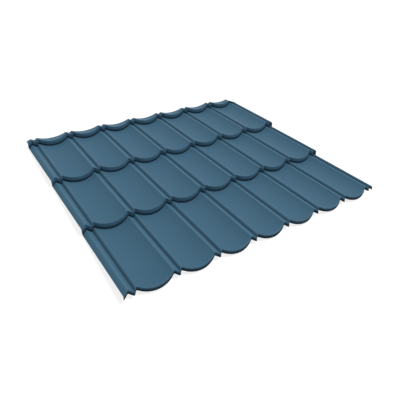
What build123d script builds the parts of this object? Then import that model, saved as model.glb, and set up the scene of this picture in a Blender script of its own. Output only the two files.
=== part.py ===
from build123d import *
from math import atan2, cos, hypot, radians, tan
import os

# Driving dimensions, in millimetres and degrees
sheet_thickness = 0.5
pan_count = 7
rib_pitch = 150.0          # centre to centre of the ribs, across the sheet
rib_width = 26.0           # from crest to crest, over the groove of a rib
groove_depth = 6.5         # of the groove along the top of each rib
groove_floor = 3.0         # width of the groove's floor
groove_offset = 2.5        # the floor lies this far right of the rib's middle
pan_depth = 12.0           # from the crests down to the bottom of a pan
pan_flank_angle = 22.5     # slope of a pan's flanks just inside the crests
crest_radius = 3.0
groove_radius = 3.0
left_flange_width = 18.0   # sloping strip outside the leftmost rib
right_flange_width = 11.0
flange_drop = 7.0

module_count = 3
module_length = 300.0      # from one step to the next, along the sheet
step_height = 21.3
step_run = 4.1             # the foot of a step stands this far forward of its top
step_bow = 20.0            # a step's line comes forward this much at the middle of a pan
front_overhang = 9.5       # the lowest module reaches this far past its step line
front_lip_height = 14.5
front_lip_run = 3.0
top_stub = 11.0            # from the topmost step's ends to the top edge, which is cut straight
cut_margin = 3.0           # how far the cuts at the top run past the sheet

# The cross profile is drawn in a plane that leans forward, so that one line gives both
# the depth of the pans and the bow of the steps. Depths in it are longer by its lean.
lean = Vector(0, step_bow, pan_depth).normalized()
profile_plane = Plane(origin=(0, 0, 0), x_dir=(1, 0, 0), z_dir=Vector(1, 0, 0).cross(lean))
stretch = hypot(step_bow, pan_depth) / pan_depth

# Each pan is one arc between two short straight flanks that would meet at an apex.
half_pan = (rib_pitch - rib_width) / 2
flank_slope = tan(radians(pan_flank_angle)) * stretch
apex_depth = half_pan * flank_slope
apex_to_arc = 1 / cos(atan2(flank_slope, 1)) - 1
pan_radius = (apex_depth - pan_depth * stretch) / apex_to_arc

corners = []
radii = []
for rib in range(pan_count + 1):
    rib_x = (rib - pan_count / 2) * rib_pitch
    floor_x = rib_x + groove_offset
    corners.append((rib_x - rib_width / 2, 0))
    corners.append((floor_x - groove_floor / 2, -groove_depth * stretch))
    corners.append((floor_x + groove_floor / 2, -groove_depth * stretch))
    corners.append((rib_x + rib_width / 2, 0))
    radii.extend([crest_radius, groove_radius, groove_radius, crest_radius])
    if rib < pan_count:
        corners.append((rib_x + rib_pitch / 2, -apex_depth))
        radii.append(pan_radius)
outer_crest_x = (pan_count * rib_pitch + rib_width) / 2
left_edge = (-outer_crest_x - left_flange_width, -flange_drop * stretch)
right_edge = (outer_crest_x + right_flange_width, -flange_drop * stretch)

with BuildLine(profile_plane) as cross_profile:
    FilletPolyline(left_edge, *corners, right_edge, radius=radii)

# Long section at the level of the crests: front lip, then module, step, module, step ...
front_y = -front_overhang
long_points = [(front_y - front_lip_run, -front_lip_height), (front_y, 0)]
for step in range(1, module_count + 1):
    long_points.append((step * module_length - step_run, -step_height))
    long_points.append((step * module_length, 0))
module_slope = step_height / (module_length - step_run)
uncut_stub = top_stub + step_bow + cut_margin
long_points.append((module_count * module_length + uncut_stub, -module_slope * uncut_stub))

profile_wire = Wire(cross_profile.line.edges())
with BuildSketch(Plane(profile_wire @ 0, x_dir=(0, 1, 0), z_dir=(1, 0, 0))) as long_section:
    with BuildLine():
        Polyline(*long_points)
        offset(amount=sheet_thickness, side=Side.RIGHT, kind=Kind.INTERSECTION)
    make_face()


def carry(section, rail):
    # The solid that a section sweeps out when it goes along a rail without turning:
    # each side of the section carries the whole rail along with it.
    skin = [section, section.moved(Location(rail @ 1 - rail @ 0))]
    for side in section.outer_wire().edges():
        path = rail.moved(Location(side @ 0 - rail @ 0))
        skin.extend(Shell.extrude(path, side @ 1 - side @ 0).faces())
    return Solid(Shell(skin))


# The top right corner is notched: the topmost step isn't carried over the last rib, so that
# the laps of four sheets don't lie on top of each other there.
last_rib = [edge for edge in profile_wire.edges()
            if edge.center().X > outer_crest_x - rib_width - crest_radius]
past_edge = Line(profile_wire @ 1, profile_wire @ 1 + (profile_wire % 1) * cut_margin)
notch_rail = Wire(last_rib + [past_edge])
with BuildSketch(Plane(notch_rail @ 0, x_dir=(0, 1, 0), z_dir=(1, 0, 0))) as notch_section:
    with Locations((module_count * module_length - step_run, -step_height - cut_margin)):
        Rectangle(step_run + uncut_stub + cut_margin, step_height + 2 * cut_margin,
                  align=(Align.MIN, Align.MIN))

sheet_blank = carry(long_section.sketch.face(), profile_wire)
corner_cut = carry(notch_section.sketch.face(), notch_rail)
top_edge = module_count * module_length + top_stub
with BuildPart() as tile_sheet:
    add(sheet_blank)
    add(corner_cut, mode=Mode.SUBTRACT)
    split(bisect_by=Plane(origin=(0, top_edge, 0), z_dir=(0, -1, 0)), keep=Keep.TOP)

# The sheet lies on the feet of its pans: they are at z = 0, and the origin is under its middle.
extent = tile_sheet.part.bounding_box()
middle = extent.center()
tile_sheet.part.move(Location((-middle.X, -middle.Y, -extent.min.Z)))

os.makedirs("parts", exist_ok=True)
tile_sheet.part.label = "tile_sheet"
export_step(tile_sheet.part, "parts/tile_sheet.step")
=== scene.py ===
from math import atan, cos, hypot, radians, sin, tan

import bmesh
import bpy
from mathutils import Matrix, Vector


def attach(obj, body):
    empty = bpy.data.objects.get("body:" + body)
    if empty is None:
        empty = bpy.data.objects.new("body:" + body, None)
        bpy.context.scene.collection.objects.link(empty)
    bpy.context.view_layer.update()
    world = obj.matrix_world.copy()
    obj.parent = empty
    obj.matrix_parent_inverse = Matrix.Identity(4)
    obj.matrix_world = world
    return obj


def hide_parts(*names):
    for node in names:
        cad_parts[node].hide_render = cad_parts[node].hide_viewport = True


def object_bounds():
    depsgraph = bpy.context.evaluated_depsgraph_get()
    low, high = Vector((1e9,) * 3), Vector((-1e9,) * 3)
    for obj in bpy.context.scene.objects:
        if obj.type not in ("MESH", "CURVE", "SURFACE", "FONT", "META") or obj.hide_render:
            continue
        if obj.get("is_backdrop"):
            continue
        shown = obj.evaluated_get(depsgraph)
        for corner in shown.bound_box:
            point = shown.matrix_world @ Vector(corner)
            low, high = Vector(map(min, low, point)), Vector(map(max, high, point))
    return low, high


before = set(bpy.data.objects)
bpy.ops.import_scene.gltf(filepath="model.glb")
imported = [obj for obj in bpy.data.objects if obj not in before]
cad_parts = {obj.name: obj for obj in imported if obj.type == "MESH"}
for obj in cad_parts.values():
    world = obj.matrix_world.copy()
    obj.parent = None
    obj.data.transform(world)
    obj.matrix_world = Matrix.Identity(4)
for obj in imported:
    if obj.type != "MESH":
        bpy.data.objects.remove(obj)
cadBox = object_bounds()
mm = 0.001
print("frame loaded, sheet in mm:", [round(side / mm, 1) for side in cadBox[1] - cadBox[0]])


# where the photograph was taken from, in the sheet's frame
camera = {
    "place": (-830.5, -1114.75, 925.4),     # mm
    "azimuth": 37.75,       # degrees from +Y towards +X
    "downward": 37.92,
    "roll": 6.14,
    "lens": 35.965,         # mm
    "sensorWidth": 36,
    "reach": 50,            # metres that it sees
}


def placeCamera(c):
    azimuth, downward, roll = (radians(c[k]) for k in ("azimuth", "downward", "roll"))
    forward = Vector((sin(azimuth) * cos(downward), cos(azimuth) * cos(downward), -sin(downward)))
    level = forward.cross(Vector((0, 0, 1))).normalized()
    upright = level.cross(forward)
    right = level * cos(roll) + upright * sin(roll)
    up = upright * cos(roll) - level * sin(roll)
    data = bpy.data.cameras.new("photoCamera")
    data.sensor_width = c["sensorWidth"]
    data.lens = c["lens"]
    data.clip_end = c["reach"]
    obj = bpy.data.objects.new("photoCamera", data)
    turn = Matrix((right, up, -forward)).transposed().to_4x4()
    obj.matrix_world = Matrix.Translation(Vector(c["place"]) * mm) @ turn
    bpy.context.scene.collection.objects.link(obj)
    bpy.context.scene.camera = obj


placeCamera(camera)
print("camera placed")


# the pressed sheet, in mm; it is drawn from a point midway between its outer ribs, one row
# in front of the first step and level with the crests
sheet = {
    "place": (3.5, -439.25, 33.83),     # of that point in the sheet's frame
    "thickness": 0.5,
    "pans": 7,
    "pitch": 150.0,
    "ribWidth": 26.0,       # crest to crest over the groove
    "grooveDepth": 6.5,
    "grooveFloor": 3.0,
    "grooveOffset": 2.5,    # the groove lies a little right of the rib's middle
    "panDepth": 12.0,
    "flankAngle": 22.5,     # of a pan's straight flanks, just inside the crests
    "bendRadius": 3.0,      # of the bends along crests and grooves
    "leftFlange": 17.7,     # the flanges are a little short, because the wall widens their edges
    "rightFlange": 10.6,
    "flangeDrop": 6.9,
    "rows": 3,
    "rowLength": 300.0,
    "stepHeight": 21.3,
    "stepRun": 4.1,         # the foot of a step stands this far forward of its top
    "stepBow": 20.0,        # how far a step comes forward at the middle of a pan
    "stepRadius": 1.3,      # of the bends at the nose and foot of every step
    "footTuck": 0.1,        # the foot is drawn deeper, so that its round reaches the floor
    "frontOverhang": 9.5,   # the lowest row is longer by this much
    "lipHeight": 14.5,
    "lipRun": 3.0,
    "topStub": 11.0,        # from the top step's ends to the top edge, which is cut straight
    "cutMargin": 5.0,       # how far the stub is drawn past the cut, at the middle of a pan
    "cutTolerance": 1e-5,
    "snipWidth": 40.0,      # the top right corner is snipped this far in from the outer crest
    "snipDepth": 6.5,       # below the crests there, and down to the step's foot at the outer crest
    "bendSteps": 6,
    "panSteps": 30,
    "stepSteps": 6,
    # ribBend and stepBend tell the paints where the sheet is bent: 1 outward, -1 inward; the top
    # coat puts a painted highlight towards 1 and painted shade towards -1
    "ribBends": (1, 0.3, -1),   # of crests, left groove corners and right groove corners; the right corners carry the most painted shade, the crests the painted highlight
    "stepBends": (1, -1),       # of noses, which carry painted highlight, and feet, which carry painted shade
    "lipShade": (-1, -0.8),     # the front lip's lower edge and half-way up it take painted shade, as a fold does
    "fadeLength": 1.5,          # stepBend fades out over this length of a row beside a bend
}


def outerCrest(s):
    # how far the outermost crests are from the middle
    return (s["pans"] * s["pitch"] + s["ribWidth"]) / 2


def drawRun(bm, tip, end):
    # a straight run from the wire's tip
    tip = bmesh.ops.extrude_vert_indiv(bm, verts=[tip])["verts"][0]
    tip.co = end
    return tip


def traceWire(corners, bends, layerName):
    # a wire along the corners: a straight run up to each bend, then a spin round it;
    # the layer holds each bend's own value, and passes from one to the next along the runs
    bm = bmesh.new()
    layer = bm.verts.layers.float.new(layerName)
    tip = bm.verts.new(corners[0])
    for before, corner, after, bend in zip(corners, corners[1:], corners[2:], bends):
        radius, steps, value = bend
        along, onward = (corner - before).normalized(), (after - corner).normalized()
        turn = along.angle(onward)
        tip = drawRun(bm, tip, corner - along * radius * tan(turn / 2))
        tip[layer] = value
        axis = along.cross(onward).normalized()
        made = bmesh.ops.spin(bm, geom=[tip], cent=tip.co + axis.cross(along) * radius,
                              axis=axis, angle=turn, steps=steps)
        tip = made["geom_last"][0]
    tip = drawRun(bm, tip, corners[-1])
    tip[layer] = 0
    return bm


def crossProfile(s):
    # rib by rib from the left edge, in a plane that leans forward with the steps' bow
    def corner(x, depth):
        return Vector((x, -depth * s["stepBow"] / s["panDepth"], -depth))

    crest, left, right = ((s["bendRadius"], s["bendSteps"], value) for value in s["ribBends"])
    halfPan = (s["pitch"] - s["ribWidth"]) / 2
    apexDepth = halfPan * tan(radians(s["flankAngle"]))
    stretch = hypot(s["stepBow"], s["panDepth"]) / s["panDepth"]
    flank = atan(tan(radians(s["flankAngle"])) * stretch)
    panRadius = (apexDepth - s["panDepth"]) * stretch / (1 / cos(flank) - 1)
    corners = [corner(-outerCrest(s) - s["leftFlange"], s["flangeDrop"])]
    bends = []
    for rib in range(s["pans"] + 1):
        x = (rib - s["pans"] / 2) * s["pitch"]
        floorX = x + s["grooveOffset"]
        corners += [corner(x - s["ribWidth"] / 2, 0),
                    corner(floorX - s["grooveFloor"] / 2, s["grooveDepth"]),
                    corner(floorX + s["grooveFloor"] / 2, s["grooveDepth"]),
                    corner(x + s["ribWidth"] / 2, 0)]
        bends += [crest, left, right, crest]
        if rib < s["pans"]:
            corners.append(corner(x + s["pitch"] / 2, apexDepth))
            bends.append((panRadius, s["panSteps"], 0))
    corners.append(corner(outerCrest(s) + s["rightFlange"], s["flangeDrop"]))
    return traceWire(corners, bends, "ribBend")


def longSection(s):
    # front lip, then row and step in turn up the sheet, at the level of the crests
    nose, foot = ((s["stepRadius"], s["stepSteps"], value) for value in s["stepBends"])
    footDepth = s["stepHeight"] + s["footTuck"]
    corners = [Vector((0, -s["frontOverhang"] - s["lipRun"], -s["lipHeight"])),
               Vector((0, -s["frontOverhang"], 0))]
    bends = [nose]
    for row in range(1, s["rows"] + 1):
        top = row * s["rowLength"]
        corners += [Vector((0, top - s["stepRun"], -footDepth)), Vector((0, top, 0))]
        bends += [foot, nose]
    slope = s["stepHeight"] / (s["rowLength"] - s["stepRun"])
    uncut = s["topStub"] + s["stepBow"] + s["cutMargin"]
    corners.append(Vector((0, s["rows"] * s["rowLength"] + uncut, -slope * uncut)))
    wire = traceWire(corners, bends, "stepBend")
    layer = wire.verts.layers.float["stepBend"]
    points = [(v.co.copy(), v[layer]) for v in wire.verts]
    wire.free()
    return markFades(points, s)


def markFades(points, s):
    # further points half-way up the front lip and on each row beside its two bends
    lowerEdge = points[0][0]
    halfLip = (lowerEdge + points[1][0]) / 2
    section = list(zip((lowerEdge, halfLip), s["lipShade"]))
    for (here, _), (onward, value) in zip(points, points[1:]):
        run = onward - here
        if run.length > s["rowLength"] / 2:     # a row
            fade = run.normalized() * s["fadeLength"]
            section += [(here + fade, 0), (onward - fade, 0)]
        section.append((onward, value))
    return section


def carryUp(bm, s):
    # the cross profile is carried up the long section, edge row by edge row
    layer = bm.verts.layers.float.new("stepBend")
    section = longSection(s)
    edges = list(bm.edges)
    bmesh.ops.translate(bm, vec=section[0][0], verts=bm.verts)
    for vert in bm.verts:
        vert[layer] = section[0][1]
    topFoot = s["rows"] * s["rowLength"] - s["stepRun"] - s["stepRadius"]
    topFaces = []
    for (here, _), (onward, value) in zip(section, section[1:]):
        grown = bmesh.ops.extrude_edge_only(bm, edges=edges)["geom"]
        edges = [g for g in grown if isinstance(g, bmesh.types.BMEdge)]
        verts = [g for g in grown if isinstance(g, bmesh.types.BMVert)]
        bmesh.ops.translate(bm, vec=onward - here, verts=verts)
        for vert in verts:
            vert[layer] = value
        if here.y > topFoot:
            topFaces += [g for g in grown if isinstance(g, bmesh.types.BMFace)]
    return topFaces


def snipCorner(bm, s, faces):
    # over the last rib the top step and the stub are snipped down a slant
    geom = set(faces)
    for face in faces:
        geom.update(face.edges, face.verts)
    bmesh.ops.bisect_plane(bm, geom=list(geom), dist=s["cutTolerance"], clear_outer=True,
                           plane_co=(outerCrest(s) - s["snipWidth"], 0, -s["snipDepth"]),
                           plane_no=(s["stepHeight"] - s["snipDepth"], 0, s["snipWidth"]))


def cutTopEdge(bm, s):
    # the stub is cut straight across, and the faces are made to look upwards
    topEdge = Vector((0, s["rows"] * s["rowLength"] + s["topStub"], 0))
    bmesh.ops.bisect_plane(bm, geom=bm.verts[:] + bm.edges[:] + bm.faces[:],
                           dist=s["cutTolerance"], clear_outer=True,
                           plane_co=topEdge, plane_no=(0, 1, 0))
    bmesh.ops.recalc_face_normals(bm, faces=bm.faces)
    if sum(f.normal.z for f in bm.faces) < 0:
        bmesh.ops.reverse_faces(bm, faces=bm.faces)


def addWall(bm, s):
    # the sheet's thickness; material 0 is the top, 1 the back and 2 the cut edge all round
    drawn = bm.faces[:]
    made = bmesh.ops.solidify(bm, geom=drawn, thickness=s["thickness"])["geom"]
    broad = set(drawn).union(g for g in made if isinstance(g, bmesh.types.BMFace))
    for face in bm.faces:
        face.smooth = True
        if face not in broad:
            face.material_index = 2
        elif face.normal.z < 0:
            face.material_index = 1
    for edge in bm.edges:
        edge.smooth = all(f.material_index != 2 for f in edge.link_faces)


def fixOrder(bm):
    # the operators' order changes from run to run, so the elements are put in order of place
    for index, vert in enumerate(sorted(bm.verts, key=lambda v: v.co[:])):
        vert.index = index
    bm.verts.sort()
    bm.verts.index_update()
    for elements in (bm.edges, bm.faces):
        ranked = sorted(elements, key=lambda e: sorted(v.index for v in e.verts))
        for index, element in enumerate(ranked):
            element.index = index
        elements.sort()


def pressSheet(s):
    bm = crossProfile(s)
    topFaces = carryUp(bm, s)
    snipCorner(bm, s, topFaces)
    cutTopEdge(bm, s)
    addWall(bm, s)
    fixOrder(bm)
    bmesh.ops.translate(bm, vec=s["place"], verts=bm.verts)
    bmesh.ops.scale(bm, vec=(mm, mm, mm), verts=bm.verts)
    print("sheet pressed:", len(bm.faces), "faces, open edges",
          sum(not e.is_manifold for e in bm.edges),
          "steel in cm3", round(bm.calc_volume() * 1e6, 1))
    mesh = bpy.data.meshes.new("pressedSheet")
    bm.to_mesh(mesh)
    bm.free()
    obj = bpy.data.objects.new("pressedSheet", mesh)
    bpy.context.scene.collection.objects.link(obj)
    obj.modifiers.new("evenShading", "WEIGHTED_NORMAL").keep_sharp = True
    return obj


pressed = pressSheet(sheet)
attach(pressed, "root")
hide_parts("tile_sheet")


def newMaterial(name):
    mat = bpy.data.materials.new(name)
    mat.use_nodes = True
    return mat, mat.node_tree, mat.node_tree.nodes["Principled BSDF"]


def addNode(tree, kind, **values):
    # a node with its inputs set by name
    node = tree.nodes.new(kind)
    for name, value in values.items():
        node.inputs[name].default_value = value
    return node


def feed(tree, value, socket):
    # a link from another node's output, or else a plain value
    if isinstance(value, bpy.types.NodeSocket):
        tree.links.new(value, socket)
    else:
        socket.default_value = value


def addMath(tree, operation, first, second):
    node = tree.nodes.new("ShaderNodeMath")
    node.operation = operation
    feed(tree, first, node.inputs[0])
    feed(tree, second, node.inputs[1])
    return node.outputs[0]


def addNoise(tree, perMetre, detail, drawnOut):
    # noise on the sheet's own coordinates, drawn out along the coil by a factor
    coords = tree.nodes.new("ShaderNodeTexCoord")
    mapping = addNode(tree, "ShaderNodeMapping", Scale=(1, 1 / drawnOut, 1 / drawnOut))
    noise = addNode(tree, "ShaderNodeTexNoise", Scale=perMetre, Detail=detail)
    tree.links.new(coords.outputs["Object"], mapping.inputs["Vector"])
    tree.links.new(mapping.outputs["Vector"], noise.inputs["Vector"])
    return noise.outputs["Fac"]


def addRange(tree, value, start, end, low, high):
    # the value's stretch from start to end becomes low to high
    node = addNode(tree, "ShaderNodeMapRange", **{"From Min": start, "From Max": end,
                                                  "To Min": low, "To Max": high})
    feed(tree, value, node.inputs["Value"])
    return node.outputs["Result"]


noiseStretch = (0.35, 0.65)     # two noises added up lie mostly in this part of 0 to 1


def addTone(tree, first, second, firstShare):
    # two noises in their shares, spread over 0 to 1
    both = addMath(tree, "ADD", addMath(tree, "MULTIPLY", first, firstShare),
                   addMath(tree, "MULTIPLY", second, 1 - firstShare))
    return addRange(tree, both, *noiseStretch, 0, 1)


def addMix(tree, share, first, second):
    # one colour passes into another as the share goes from 0 to 1
    node = tree.nodes.new("ShaderNodeMix")
    node.data_type = "RGBA"
    feed(tree, share, node.inputs[0])
    feed(tree, first, node.inputs[6])       # inputs 6 and 7 and output 2 are the colours
    feed(tree, second, node.inputs[7])
    return node.outputs[2]


def addBump(tree, height, depth, normal=None):
    bump = addNode(tree, "ShaderNodeBump", Strength=1.0, Distance=depth)
    tree.links.new(height, bump.inputs["Height"])
    if normal:
        tree.links.new(normal, bump.inputs["Normal"])
    return bump.outputs["Normal"]


def readBend(tree, layerName):
    node = tree.nodes.new("ShaderNodeAttribute")
    node.attribute_name = layerName
    return node.outputs["Fac"]


# satin coil paint on the upper side, with a painted highlight along the ridges and the steps' noses
# and painted shade in the grooves, along the steps' feet and on the front lip
topCoat = {
    "darker": (0.0445, 0.1165, 0.181, 1),
    "lighter": (0.0485, 0.126, 0.195, 1),
    # the painted highlight's colour
    "highlightPaint": (0.10, 0.21, 0.30, 1),
    # the painted shade's colour
    "paintedShade": (0.003, 0.011, 0.021, 1),
    # noises: per metre, detail, drawn out along the coil
    "clouds": (7, 3, 1),
    "streaks": (130, 2, 90),
    "peel": (380, 1, 1),
    "grain": (1500, 2, 1),
    "cloudShare": 0.6,      # of the clouds in the paint's tone, beside the streaks
    "peelDepth": 0.012,     # mm
    "grainDepth": 0.010,
    # the painted highlight and painted shade set in over these values of ribBend and stepBend
    "crestBend": (0.4, 1),
    "noseBend": (0, 0.5),
    "grooveBend": (0, -0.6),
    "footBend": (-0.15, -0.6),
    "crestHighlight": 0.33,       # greatest share of painted highlight along the ribs' crests
    "noseHighlight": 0.28,        # and at the top of every step
    "grooveShade": 0.52,     # greatest share of painted shade in the grooves
    "footShade": 0.95,       # and along the foot of every step
    "highlightStreaks": (0.35, 0.6),  # over this stretch of their noise the streaks let the painted highlight through
    "highlightLeast": 0.6,            # and below it they thin it to this share
    "shadeClouds": (0.3, 0.7),   # the clouds do the same to the painted shade
    "shadeLeast": 0.8,
    "roughness": (0.54, 0.66),
    "shadeRougher": 0.25,
    "highlightSmoother": 0.5,
    "specular": 0.15,
}


# painted highlight: lighter paint along the crests and the tops of the steps
def addPaintedHighlight(tree, c, streaks):
    paintedHighlight = addMath(tree, "MAXIMUM",
                  addRange(tree, readBend(tree, "ribBend"), *c["crestBend"], 0, c["crestHighlight"]),
                  addRange(tree, readBend(tree, "stepBend"), *c["noseBend"], 0, c["noseHighlight"]))
    return addMath(tree, "MULTIPLY", paintedHighlight,
                   addRange(tree, streaks, *c["highlightStreaks"], c["highlightLeast"], 1))


# painted shade: near-black paint in the grooves, along the feet of the steps and on the front lip
def addPaintedShade(tree, c, clouds):
    paintedShade = addMath(tree, "MAXIMUM",
                   addRange(tree, readBend(tree, "ribBend"), *c["grooveBend"], 0, c["grooveShade"]),
                   addRange(tree, readBend(tree, "stepBend"), *c["footBend"], 0, c["footShade"]))
    return addMath(tree, "MULTIPLY", paintedShade,
                   addRange(tree, clouds, *c["shadeClouds"], c["shadeLeast"], 1))


def paintTopCoat(c):
    mat, tree, shader = newMaterial("topCoat")
    clouds = addNoise(tree, *c["clouds"])
    streaks = addNoise(tree, *c["streaks"])
    tone = addTone(tree, clouds, streaks, c["cloudShare"])
    paintedHighlight = addPaintedHighlight(tree, c, streaks)
    paintedShade = addPaintedShade(tree, c, clouds)
    paint = addMix(tree, tone, c["darker"], c["lighter"])
    # the painted highlight goes over the paint
    paint = addMix(tree, paintedHighlight, paint, c["highlightPaint"])
    # and painted shade over that
    feed(tree, addMix(tree, paintedShade, paint, c["paintedShade"]), shader.inputs["Base Color"])
    rough = addRange(tree, tone, 0, 1, *c["roughness"])
    rough = addMath(tree, "ADD", rough, addMath(tree, "MULTIPLY", paintedShade, c["shadeRougher"]))
    rough = addMath(tree, "SUBTRACT", rough, addMath(tree, "MULTIPLY", paintedHighlight, c["highlightSmoother"]))
    feed(tree, rough, shader.inputs["Roughness"])
    shader.inputs["Specular IOR Level"].default_value = c["specular"]
    peel = addBump(tree, addNoise(tree, *c["peel"]), c["peelDepth"] * mm)
    grain = addBump(tree, addNoise(tree, *c["grain"]), c["grainDepth"] * mm, peel)
    feed(tree, grain, shader.inputs["Normal"])
    return mat


# thin grey primer on the back, with roller streaks and scuffs where it stands proud
backCoat = {
    "darker": (0.27, 0.275, 0.27, 1),
    "lighter": (0.36, 0.365, 0.355, 1),
    "scuffed": (0.48, 0.49, 0.49, 1),
    # noises: per metre, detail, drawn out along the coil
    "clouds": (9, 3, 1),
    "streaks": (220, 3, 60),
    "scratches": (700, 2, 25),
    "grain": (1100, 2, 1),
    "cloudShare": 0.5,
    "grainDepth": 0.018,    # mm
    "scuffScratches": (0.45, 0.6),
    "scuff": 0.5,           # greatest share of scuffed primer, on the bends that stand proud
    "roughness": (0.55, 0.72),
    "specular": 0.3,
}


def paintBackCoat(c):
    mat, tree, shader = newMaterial("backCoat")
    clouds = addNoise(tree, *c["clouds"])
    streaks = addNoise(tree, *c["streaks"])
    scratches = addNoise(tree, *c["scratches"])
    tone = addTone(tree, clouds, streaks, c["cloudShare"])
    proud = addMath(tree, "MAXIMUM", addRange(tree, readBend(tree, "ribBend"), 0, -1, 0, 1),
                    addRange(tree, readBend(tree, "stepBend"), 0, -1, 0, 1))
    scuff = addMath(tree, "MULTIPLY", proud,
                    addRange(tree, scratches, *c["scuffScratches"], 0, c["scuff"]))
    primer = addMix(tree, tone, c["darker"], c["lighter"])
    feed(tree, addMix(tree, scuff, primer, c["scuffed"]), shader.inputs["Base Color"])
    feed(tree, addRange(tree, tone, 0, 1, *c["roughness"]), shader.inputs["Roughness"])
    shader.inputs["Specular IOR Level"].default_value = c["specular"]
    grain = addBump(tree, addNoise(tree, *c["grain"]), c["grainDepth"] * mm)
    feed(tree, grain, shader.inputs["Normal"])
    return mat


# bare zinc and steel where the sheet was sheared
cutEdge = {
    "darker": (0.26, 0.27, 0.28, 1),
    "lighter": (0.47, 0.48, 0.49, 1),
    # noises: per metre, detail, drawn out along the coil
    "shearMarks": (2500, 2, 1),
    "patches": (60, 3, 1),
    "markShare": 0.5,
    "markDepth": 0.02,      # mm
    "roughPatches": (0.3, 0.7),
    "roughness": (0.38, 0.6),
    "metallic": 0.7,
}


def finishCutEdge(c):
    mat, tree, shader = newMaterial("cutEdge")
    marks = addNoise(tree, *c["shearMarks"])
    patches = addNoise(tree, *c["patches"])
    tone = addTone(tree, marks, patches, c["markShare"])
    feed(tree, addMix(tree, tone, c["darker"], c["lighter"]), shader.inputs["Base Color"])
    rough = addRange(tree, patches, *c["roughPatches"], *c["roughness"])
    feed(tree, rough, shader.inputs["Roughness"])
    shader.inputs["Metallic"].default_value = c["metallic"]
    feed(tree, addBump(tree, marks, c["markDepth"] * mm), shader.inputs["Normal"])
    return mat


pressed.data.materials.append(paintTopCoat(topCoat))
pressed.data.materials.append(paintBackCoat(backCoat))
pressed.data.materials.append(finishCutEdge(cutEdge))
print("sheet painted:", [mat.name for mat in pressed.data.materials])


def seenAsWhite(tree):
    # 1 for what the camera sees straight or through gloss or glass, otherwise 0
    path = tree.nodes.new("ShaderNodeLightPath")
    seen = path.outputs["Is Camera Ray"]
    for name in ("Is Glossy Ray", "Is Transmission Ray"):
        seen = addMath(tree, "MAXIMUM", seen, path.outputs[name])
    return seen


# pale floor: white to the camera, but mid-grey in the light that it throws back
floor = {
    "halfSize": 6,          # m
    "colour": (0.3, 0.3, 0.3, 1),
    "roughness": 0.9,
    "glow": 0.8,            # only where it is seen as white
}


def layFloor(s):
    bm = bmesh.new()
    bmesh.ops.create_grid(bm, x_segments=1, y_segments=1, size=s["halfSize"])
    mesh = bpy.data.meshes.new("paleFloor")
    bm.to_mesh(mesh)
    bm.free()
    mat, tree, shader = newMaterial("paleFloor")
    shader.inputs["Base Color"].default_value = s["colour"]
    shader.inputs["Roughness"].default_value = s["roughness"]
    glow = addNode(tree, "ShaderNodeEmission", Strength=s["glow"])
    both = tree.nodes.new("ShaderNodeAddShader")
    mix = tree.nodes.new("ShaderNodeMixShader")
    tree.links.new(shader.outputs[0], both.inputs[0])
    tree.links.new(glow.outputs[0], both.inputs[1])
    tree.links.new(seenAsWhite(tree), mix.inputs[0])
    tree.links.new(shader.outputs[0], mix.inputs[1])
    tree.links.new(both.outputs[0], mix.inputs[2])
    tree.links.new(mix.outputs[0], tree.nodes["Material Output"].inputs[0])
    mesh.materials.append(mat)
    obj = bpy.data.objects.new("paleFloor", mesh)
    bpy.context.scene.collection.objects.link(obj)
    obj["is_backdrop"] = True


layFloor(floor)

# plain soft studio light: an even surround and one soft lamp high up on the right
light = {
    "surround": 0.37,
    "lampTo": (0.4385, -0.1175, 0.891),     # direction towards the lamp
    "lampStrength": 2.2,
    "lampAngle": 15.0,      # degrees that the lamp spans
}


def lightScene(s):
    world = bpy.data.worlds.new("studio")
    world.use_nodes = True
    tree = world.node_tree
    surround = tree.nodes["Background"]
    surround.inputs["Color"].default_value = (1, 1, 1, 1)
    surround.inputs["Strength"].default_value = s["surround"]
    backdrop = addNode(tree, "ShaderNodeBackground", Color=(1, 1, 1, 1), Strength=1.0)
    mix = tree.nodes.new("ShaderNodeMixShader")
    tree.links.new(seenAsWhite(tree), mix.inputs[0])
    tree.links.new(surround.outputs[0], mix.inputs[1])
    tree.links.new(backdrop.outputs[0], mix.inputs[2])
    tree.links.new(mix.outputs[0], tree.nodes["World Output"].inputs[0])
    bpy.context.scene.world = world
    data = bpy.data.lights.new("softLamp", "SUN")
    data.energy = s["lampStrength"]
    data.angle = radians(s["lampAngle"])
    lamp = bpy.data.objects.new("softLamp", data)
    lamp.rotation_euler = Vector(s["lampTo"]).to_track_quat("Z", "Y").to_euler()
    bpy.context.scene.collection.objects.link(lamp)


lightScene(light)
print("stage lit")

bpy.context.scene.view_settings.view_transform = "Standard"
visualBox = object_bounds()
past = [[round(a / mm, 2) for a in visualBox[k] - cadBox[k]] for k in (0, 1)]
print("visual less CAD box, mm:", past)
